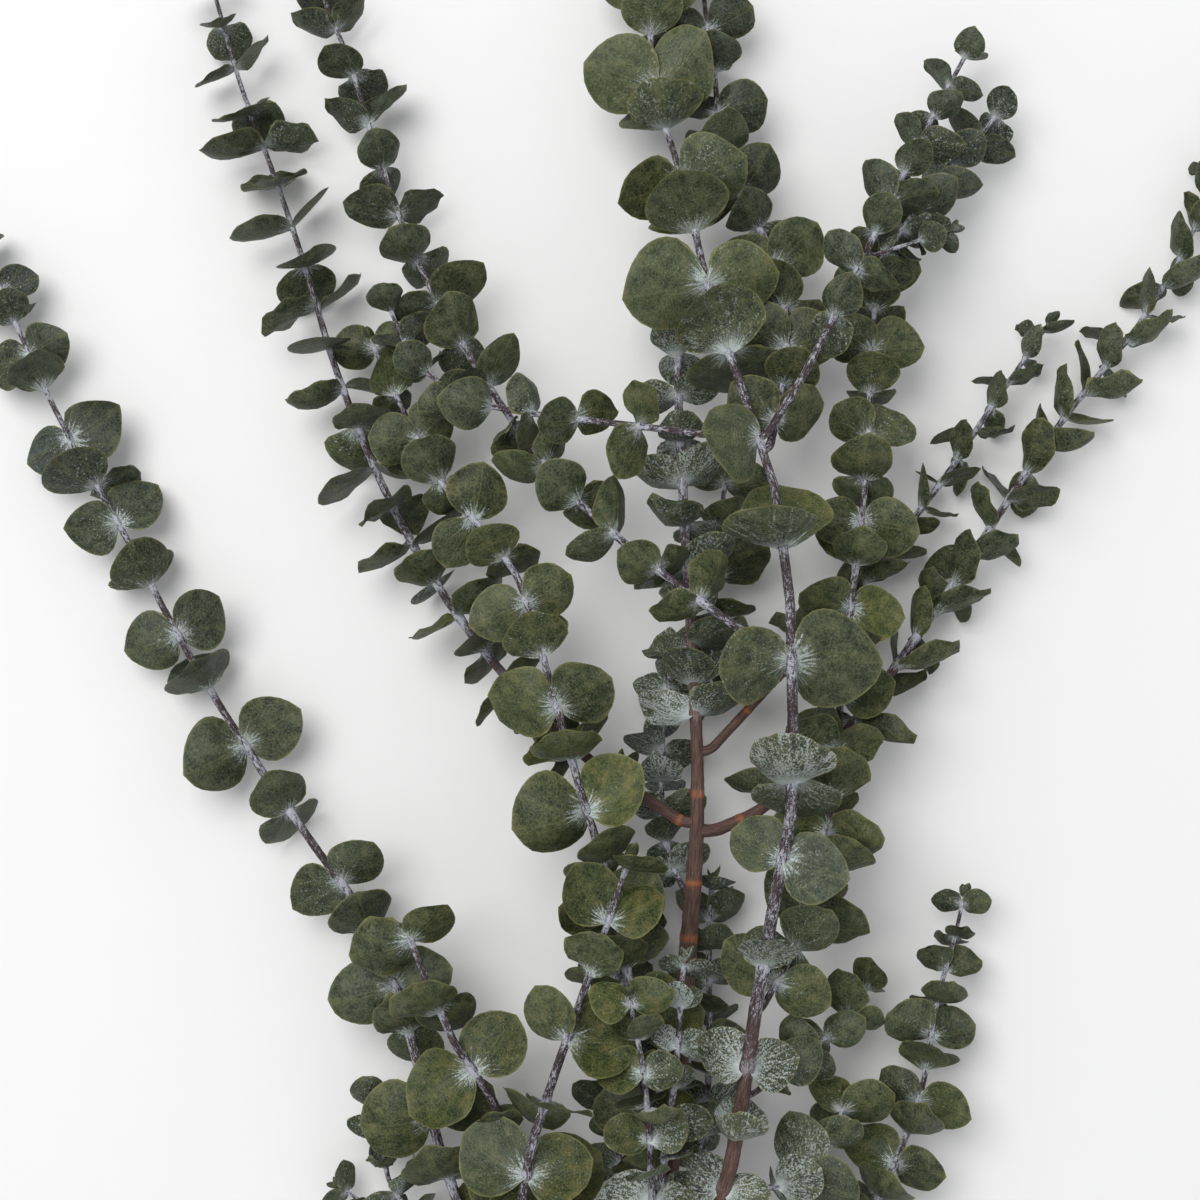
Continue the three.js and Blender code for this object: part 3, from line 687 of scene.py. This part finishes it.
def leaf_material(colours):
    """Matt green wax over a net of veins, whitest where the leaf leaves its stem."""
    graph = ShaderGraph("eucalyptus_leaf")
    x, y, z = graph.attribute("place").split()
    hue, dark, bloom = graph.attribute("tone").split()
    spot = graph.attribute("spot")
    seed = graph.attribute("seed", "Fac")
    rim = graph.attribute("rim", "Fac")
    upper = z > 0
    radius = (x * x + y * y).root()
    angle = x.angle_to(y + 0.06)
    fan = graph.join(angle * 6.5, radius * 1.6, seed)
    rays = graph.noise(fan, scale=2.1, detail=5.0, roughness=0.66)
    speckle = graph.noise(spot, scale=1300.0, detail=3.0, roughness=0.7)
    patches = graph.noise(spot, scale=190.0, detail=3.0, roughness=0.6)
    to_edge = {"feature": "DISTANCE_TO_EDGE"}
    cells = graph.node("ShaderNodeTexVoronoi", to_edge, {"Vector": spot, "Scale": 560.0})

    net = 1 - cells.between(0.0, 0.2)
    midrib = 1 - abs(x).between(0.004, 0.022)
    side_ribs = 1 - (angle * 13 + radius * 3 + patches * 3).sine().between(-0.95, -0.55)
    veins = (net * 0.55 + side_ribs * 0.4 + midrib * 0.6).clamped()

    green = graph.blend(patches.between(0.42, 0.66), colours.olive, colours.tan)
    green = graph.blend(hue, green, colours.blue_grey)
    back = graph.blend(0.4, green, colours.leaf_back)
    green = graph.blend(upper, back, green)
    # Darker for a dark finish, which is partly painted shade on shaded shoots, and lighter or darker
    # in the leaves' real patches and freckles.
    shade = 0.96 - dark * 0.54 + (patches - 0.5) * 2.1 + (speckle - 0.5) * 3.0
    green = green.scaled(shade.at_least(0.24))
    green = graph.blend(veins * 0.2, green, colours.leaf_rim)
    green = graph.blend(rim**8 * 0.6, green, colours.leaf_rim)

    ragged = radius + (rays - 0.5) * 0.9 + (speckle - 0.5) * 0.6
    core = 1 - ragged.between(0.03, 0.24)
    strewn = rays + (speckle - 0.5) * 1.15 + bloom * 0.5 - radius * 0.14
    strewn = strewn.between(0.76, 0.95) * (0.24 + bloom * 0.5)
    veil = bloom * bloom * 0.04
    frost = (core * 0.85 + strewn + veil).clamped() * (upper * 0.25 + 0.75)
    skin = graph.blend(frost, green, colours.bloom)
    relief = veins * 0.45 + patches * 0.8 + speckle * 0.35 + frost * 0.2
    return graph.finish(
        relief,
        strength=0.5,
        distance=0.5 * MM,
        Base_Color=skin,
        Roughness=0.46 + frost * 0.35 + (patches - 0.5) * 0.3,
        Specular_IOR_Level=0.22,
    )


class EUCALYPTUS_OT_leaves(bpy.types.Operator):
    """Grows the pairs of round leaves and the small buds at the tips"""

    bl_idname = "eucalyptus.leaves"
    bl_label = "Grow leaves"

    def execute(self, context):
        sizes = context.scene.branch_sizes
        material = leaf_material(context.scene.branch_colours)
        blade = unit_blade()
        tree = leaf_tree()
        for order, shoot in enumerate(BRANCH):
            rng = np.random.default_rng(order + 11)
            points, rows = self.leaf_rows(shoot, sizes, rng)
            seeds = point_mesh(shoot.name + "_seeds", points, [], **rows)
            name = shoot.name + "_leaves"
            leaves = grow(name, seeds, tree, material, Blade=blade, Thickness=sizes.leaf_thickness)
            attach(leaves, BODY)
            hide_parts(shoot.name)
        bpy.data.objects.remove(blade)
        return {"FINISHED"}

    TONE_SPREAD = (0.14, 0.2, 0.12)  # from leaf to leaf, of a finish's three numbers
    SEEDS = 60  # a leaf's seed is anything from 0 to this

    def leaf_rows(self, shoot, sizes, rng):
        """The root of each leaf and the numbers that shape and colour it."""
        foot, tip = (np.array(finish) for finish in SHOOT_FINISHES[shoot.name])
        leaves = sorted(shoot.leaves, key=lambda leaf: leaf.station)
        reach = shoot.marks[-1]
        count = len(leaves)
        push = np.array([leaf.stem_radius / 2 for leaf in leaves])
        along = np.array([leaf.along for leaf in leaves])
        points = np.array([leaf.base for leaf in leaves]) - along * push[:, None]
        share = np.array([leaf.station for leaf in leaves])[:, None] / reach
        start = share.min()
        share = (share - start) / max(1 - start, MM)
        tone = foot + (tip - foot) * share + rng.normal(0, self.TONE_SPREAD, (count, 3))
        rows = {
            "side": np.array([leaf.side for leaf in leaves]),
            "along": along,
            "facing": np.array([leaf.facing for leaf in leaves]),
            "length": np.array([leaf.length for leaf in leaves]) + push,
            "width": np.array([leaf.width for leaf in leaves]) * rng.normal(1.0, 0.04, count),
            "seed": rng.uniform(0, self.SEEDS, count),
            "bending": rng.normal(
                [sizes.hollow, sizes.crease, -sizes.curl],
                [sizes.hollow * 0.9, sizes.crease * 0.8, sizes.curl],
                (count, 3),
            ),
            "unevenness": rng.normal(
                [sizes.ripple, 0, 0], [sizes.ripple * 0.6, 0.2, 0.07], (count, 3)
            ),
            # The third number of an outline is spare: a vector has three.
            "outline": rng.normal([-0.04, 0, 0], [0.11, 0.2, 0], (count, 3)),
            "tone": tone.clip(0, 1),
        }
        buds = self.bud_rows(shoot, sizes, rng, rows["tone"][-1])
        points = np.vstack([points, buds.pop("points")])
        return points, {key: np.concatenate([rows[key], buds[key]]) for key in rows}

    # Each bud leaf's share of the length, its lean in degrees and its place round the stem in radians.
    BUDS = ((1.0, 34, 0), (1.0, 34, math.pi), (0.6, 16, 1.57), (0.6, 16, 4.71))
    BUD_WIDTH = 0.62  # over its length
    LEAN_SPREAD = 6  # degrees

    def bud_rows(self, shoot, sizes, rng, tone):
        """Two pairs of small folded leaves, one inside the other, at the tip of a shoot."""
        end = shoot.centres[-1]
        ahead = end - shoot.centres[-2]
        ahead /= np.linalg.norm(ahead)
        level = np.cross(ahead, (0, 0, 1))
        level /= np.linalg.norm(level)
        raised = np.cross(level, ahead)
        first_turn = rng.uniform(0, math.pi)
        buds = []
        for share, opening, quarter in self.BUDS:
            turn = first_turn + quarter
            out = level * math.cos(turn) + raised * math.sin(turn)
            lean = math.radians(opening + rng.normal(0, self.LEAN_SPREAD))
            along = ahead * math.cos(lean) + out * math.sin(lean)
            facing = ahead * math.sin(lean) - out * math.cos(lean)
            length = sizes.bud_length * share * rng.uniform(0.8, 1.2)
            buds.append({
                "points": end,
                "side": np.cross(along, facing),
                "along": along,
                "facing": facing,
                "length": length,
                "width": length * self.BUD_WIDTH,
                "seed": rng.uniform(0, self.SEEDS),
                "bending": (0.1, 0.5, 0.1),
                "unevenness": (0.0, 0.1, 0.0),
                "outline": (-0.1, 0.0, 0.0),
                "tone": tone,
            })
        return {key: np.array([bud[key] for bud in buds]) for key in buds[0]}


# ---------------------------------------------------------------- stems


OLD_NODE_GAP = 33 * MM  # between the scars of leaves long fallen
NODE_TO_FIRST = 26 * MM  # from the last of those to the first leaf
LOWEST_NODE = 12 * MM
OLD_NODE_SPREAD = 3 * MM
SCAR_CLEARANCE = 20 * MM  # between the main stem's orange rings and its older nodes
LEAF_NODE_SWELL = 2.2 * MM  # how far from a pair of leaves the stem is swollen
OLD_NODE_SWELL = 1.6 * MM
BLOOM_SPREAD = 4.5 * MM  # how far from a pair of leaves the stem is whiter
SCAR_SPREAD = 1.0 * MM
CORNER_REACH = 9 * MM  # over how far a stem's bends are rounded
TIP_REACH = 3 * MM  # over how far its tip thins out
SLIMMING = 0.93  # a round stem, as wide on average as the frame's five-sided one
YOUNG_RADIUS = 2.2 * MM

# The cut end's rings: their share of the stem's radius and how far in they lie.
CUT_SHARES = (0.35, 0.7, 0.93)
CUT_DEPTHS = (0.0, 0.04 * MM, 0.09 * MM)
CUT_BEVEL = 0.6 * MM


def smoothed(points, step, reach):
    """A line of points with its corners rounded over a given reach; its ends stay."""
    half = max(int(reach / step / 2), 1)
    padded = np.vstack(
        [2 * points[0] - points[half:0:-1], points, 2 * points[-1] - points[-2 : -half - 2 : -1]]
    )
    kernel = np.ones(2 * half + 1) / (2 * half + 1)
    return np.stack([np.convolve(padded[:, i], kernel, "valid") for i in range(3)], axis=1)


def bumps(marks, centres, spread):
    """A soft bump at each centre, at most 1."""
    if not len(centres):
        return np.zeros_like(marks)
    return np.exp(-(((marks[:, None] - np.asarray(centres)[None]) / spread) ** 2)).max(axis=1)


def stem_rows(shoot, sizes, rng):
    """The line of a stem with its radius and skin at each step, from foot to tip."""
    reach = shoot.marks[-1]
    steps = int(reach / sizes.stem_step)
    marks = np.linspace(0, reach, steps + 1)
    line = np.stack([np.interp(marks, shoot.marks, shoot.centres[:, i]) for i in range(3)], axis=1)
    line = smoothed(line, sizes.stem_step, CORNER_REACH)
    radius = np.interp(marks, shoot.marks, shoot.radii) * SLIMMING
    stations = sorted({round(leaf.station, 4) for leaf in shoot.leaves})
    old_nodes = np.arange(stations[0] - NODE_TO_FIRST, LOWEST_NODE, -OLD_NODE_GAP)
    old_nodes = list(old_nodes + rng.normal(0, OLD_NODE_SPREAD))
    if shoot.name == MAIN:
        below_scars = [mark for mark in old_nodes if mark < MAIN_SCARS[0] - SCAR_CLEARANCE]
        old_nodes = list(MAIN_SCARS) + below_scars
    swelling = bumps(marks, stations, LEAF_NODE_SWELL)
    swelling = swelling + 0.6 * bumps(marks, old_nodes, OLD_NODE_SWELL)
    radius *= 1 + sizes.node_swelling * swelling * np.clip(YOUNG_RADIUS / radius, 0.3, 1.2)
    radius *= np.clip((reach - marks) / TIP_REACH, 0.15, 1) ** 0.5
    wood = np.zeros_like(marks)
    if shoot.name in BARK_REACH:
        wood = 1 - np.clip((marks - BARK_REACH[shoot.name]) / FADING_BARK, 0, 1)
    bloom = 0.36 + 0.42 * bumps(marks, stations, BLOOM_SPREAD) - 0.3 * wood
    scar = 0.8 * bumps(marks, old_nodes, SCAR_SPREAD) * wood
    return line, radius, np.stack([wood, bloom, scar], axis=1)


def with_cut_end(line, radius, skin):
    """The same stem with a flat, slightly bevelled end."""
    ahead = line[1] - line[0]
    ahead /= np.linalg.norm(ahead)
    added = len(CUT_SHARES)
    ends = line[0] + ahead * np.array(CUT_DEPTHS)[:, None]
    line = np.vstack([ends, line[0] + ahead * CUT_BEVEL, line[1:]])
    radius = np.concatenate([radius[0] * np.array(CUT_SHARES), radius])
    skin = np.vstack([np.repeat(skin[:1], added, axis=0), skin])
    cut = np.concatenate([np.ones(added), np.zeros(len(radius) - added)])
    return line, radius, skin, cut


def drawn_out(place, share):
    """A stem's own coordinates, in which a pattern is drawn out along it."""
    return place.vector("MULTIPLY", (1.0, 1.0, share))


def stem_tree():
    """Sweeps a round, slightly rough tube along a line."""
    graph = GeometryGraph("stem_on_line", Sides="Int", Relief="Float", Finish="Material")
    line = graph.node("GeometryNodeMeshToCurve", {}, {"Mesh": graph.entry["Geometry"]})
    thick = graph.attribute("thick", "FLOAT")
    line = graph.node("GeometryNodeSetCurveRadius", {}, {"Curve": line, "Radius": thick})
    share = graph.node("GeometryNodeSplineParameter", {}, {})
    line = graph.store(line, "run", share["Length"], "FLOAT")
    inputs = {"Resolution": graph.entry["Sides"], "Radius": 1.0}
    circle = graph.node("GeometryNodeCurvePrimitiveCircle", {}, inputs)
    circle = graph.store(circle, "turn", share["Factor"], "FLOAT")
    inputs = {"Curve": line, "Profile Curve": circle, "Scale": thick, "Fill Caps": True}
    tube = graph.node("GeometryNodeCurveToMesh", {}, inputs)
    angle = graph.attribute("turn", "FLOAT") * (2 * math.pi)
    place = graph.join(
        angle.cosine() * thick, angle.sine() * thick, graph.attribute("run", "FLOAT")
    )
    tube = graph.store(tube, "place", place)
    lumps = graph.noise(drawn_out(place, 0.3), scale=900.0) - 0.5
    normal = graph.node("GeometryNodeInputNormal", {}, {})
    offset = normal.scaled(lumps * thick * graph.entry["Relief"])
    tube = graph.node("GeometryNodeSetPosition", {}, {"Geometry": tube, "Offset": offset})
    return graph.finish(tube)


def stem_material(colours):
    """Young dark skin with flaking white wax, which turns into streaked brown bark."""
    graph = ShaderGraph("eucalyptus_stem")
    place = graph.attribute("place")
    wood, bloom, scar = graph.attribute("skin").split()
    cut = graph.attribute("cut", "Fac")
    streaks = graph.noise(drawn_out(place, 0.08), scale=1900.0, detail=4.0, roughness=0.62)
    flecks = graph.noise(drawn_out(place, 0.42), scale=1150.0, detail=5.0, roughness=0.75)
    grain = graph.noise(place, scale=3000.0, detail=3.0, roughness=0.7)
    broad = graph.noise(drawn_out(place, 0.5), scale=240.0)

    bark = graph.blend(streaks.between(0.36, 0.62), colours.dark_bark, colours.bark)
    young = graph.blend(streaks.between(0.35, 0.8) * 0.4, colours.young_skin, colours.bark)
    skin = graph.blend(wood, young, bark)
    skin = skin.scaled(0.72 + broad * 0.6)
    skin = graph.blend(scar * streaks.between(0.25, 0.55), skin, colours.scar)
    flaked = flecks + (grain - 0.5) * 0.7 + bloom * 0.34 + (broad - 0.5) * 0.4
    flaked = flaked.between(0.63, 0.77) * (0.88 - wood * 0.7)
    skin = graph.blend(flaked, skin, colours.flakes)
    skin = graph.blend(cut, skin, colours.cut_wood)
    relief = streaks * 0.8 + flaked * 0.5 + grain * 0.2
    return graph.finish(
        relief,
        strength=0.6,
        distance=0.35 * MM,
        Base_Color=skin,
        Roughness=0.62 + flaked * 0.25 + (streaks - 0.5) * 0.2,
        Specular_IOR_Level=0.3,
    )


class EUCALYPTUS_OT_stems(bpy.types.Operator):
    """Grows the woody stem and the thin stems of the shoots"""

    bl_idname = "eucalyptus.stems"
    bl_label = "Grow stems"

    MORE_SIDES = 4  # of the main stem
    RELIEF = 0.28  # how lumpy a stem is, over its radius

    def execute(self, context):
        sizes = context.scene.branch_sizes
        material = stem_material(context.scene.branch_colours)
        tree = stem_tree()
        for order, shoot in enumerate(BRANCH):
            rng = np.random.default_rng(order + 301)
            line, radius, skin, cut = with_cut_end(*stem_rows(shoot, sizes, rng))
            edges = [(i, i + 1) for i in range(len(line) - 1)]
            path = point_mesh(shoot.name + "_path", line, edges, thick=radius, skin=skin, cut=cut)
            sides = sizes.stem_sides + (self.MORE_SIDES if shoot.name == MAIN else 0)
            stem = grow(shoot.name + "_stem", path, tree, material, Sides=sides, Relief=self.RELIEF)
            stem.data.shade_smooth()
            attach(stem, BODY)
            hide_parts(shoot.name)
        return {"FINISHED"}


# ---------------------------------------------------------------- stage


FLOOR_HALF = 4.0  # metres from the middle of the table to its edge

# The camera looks straight down on a place that lies off the branch's middle by these shares of
# its width and length. It takes in the seen width, in metres, at the height where most leaves are.
LOOKING_AT = (-0.0095, 0.0602)
SEEN_WIDTH = 0.5
SEEN_HEIGHT = 0.035
LENS, SENSOR = 85, 36

LAMP_PLACE = (-1.5, 1.7, 4.6)  # from the branch's middle, over its length
LAMP_SIZE = 2.4
LAMP_WATTS = 81
SKY_COLOUR = (0.96, 0.98, 1.0, 1.0)
SKY_STRENGTH = 0.6


def floor_material(colours):
    """Plain matt paper."""
    graph = ShaderGraph("pale_table")
    place = graph.node("ShaderNodeTexCoord", {}, {}, "Object")
    grain = graph.noise(place, scale=60.0)
    paper = graph.blend(grain * 0.03, colours.floor, (0.6, 0.6, 0.6, 1.0))
    return graph.finish(grain, strength=0.02, distance=MM, Base_Color=paper, Roughness=0.9)


class EUCALYPTUS_OT_stage(bpy.types.Operator):
    """Sets the table, the soft light from the upper left and the camera above"""

    bl_idname = "eucalyptus.stage"
    bl_label = "Set stage"

    def execute(self, context):
        scene = context.scene
        low, high = cad_box
        middle = (low + high) / 2
        self.set_floor(scene, middle, low.z)
        self.set_light(scene, middle, high.y - low.y)
        self.set_camera(scene, middle, high - low, low.z)
        scene.view_settings.view_transform = "Standard"
        return {"FINISHED"}

    @staticmethod
    def set_camera(scene, middle, size, level):
        camera = bpy.data.cameras.new("camera")
        camera.lens, camera.sensor_width = LENS, SENSOR
        eye = bpy.data.objects.new("camera", camera)
        scene.collection.objects.link(eye)
        eye.location = (
            middle.x + LOOKING_AT[0] * size.x,
            middle.y + LOOKING_AT[1] * size.y,
            level + SEEN_HEIGHT + SEEN_WIDTH * LENS / SENSOR,
        )
        scene.camera = eye

    @staticmethod
    def set_floor(scene, middle, level):
        half = FLOOR_HALF
        corners = [(-half, -half), (half, -half), (half, half), (-half, half)]
        mesh = bpy.data.meshes.new("table")
        mesh.from_pydata([(middle.x + x, middle.y + y, level) for x, y in corners], [], [range(4)])
        mesh.materials.append(floor_material(scene.branch_colours))
        floor = bpy.data.objects.new("table", mesh)
        scene.collection.objects.link(floor)

    @staticmethod
    def set_light(scene, middle, length):
        lamp = bpy.data.lights.new("softbox", "AREA")
        lamp.shape, lamp.size, lamp.energy = "DISK", LAMP_SIZE, LAMP_WATTS
        box = bpy.data.objects.new("softbox", lamp)
        box.location = middle + Vector(LAMP_PLACE) * length
        aim = middle - box.location
        box.rotation_mode = "QUATERNION"
        box.rotation_quaternion = aim.to_track_quat("-Z", "Y")
        scene.collection.objects.link(box)
        world = bpy.data.worlds.new("studio")
        scene.world = world
        world.use_nodes = True
        sky = world.node_tree.nodes["Background"]
        sky.inputs["Color"].default_value = SKY_COLOUR
        sky.inputs["Strength"].default_value = SKY_STRENGTH


# ---------------------------------------------------------------- add-on


class EUCALYPTUS_PT_branch(bpy.types.Panel):
    """The branch's tools, sizes and colours"""

    bl_idname = "EUCALYPTUS_PT_branch"
    bl_label = "Eucalyptus branch"
    bl_space_type = "VIEW_3D"
    bl_region_type = "UI"
    bl_category = "Eucalyptus"

    def draw(self, context):
        for tool in (EUCALYPTUS_OT_stems, EUCALYPTUS_OT_leaves, EUCALYPTUS_OT_stage):
            self.layout.operator(tool.bl_idname)
        for group in (context.scene.branch_sizes, context.scene.branch_colours):
            for name in group.__annotations__:
                self.layout.prop(group, name)


CLASSES = (
    BranchSizes,
    BranchColours,
    EUCALYPTUS_OT_stems,
    EUCALYPTUS_OT_leaves,
    EUCALYPTUS_OT_stage,
    EUCALYPTUS_PT_branch,
)


def register():
    for kind in CLASSES:
        bpy.utils.register_class(kind)
    bpy.types.Scene.branch_sizes = PointerProperty(type=BranchSizes)
    bpy.types.Scene.branch_colours = PointerProperty(type=BranchColours)


def unregister():
    del bpy.types.Scene.branch_colours
    del bpy.types.Scene.branch_sizes
    for kind in reversed(CLASSES):
        bpy.utils.unregister_class(kind)


def main():
    register()
    bpy.ops.eucalyptus.stems()
    bpy.ops.eucalyptus.leaves()
    bpy.ops.eucalyptus.stage()


if __name__ == "__main__":
    main()
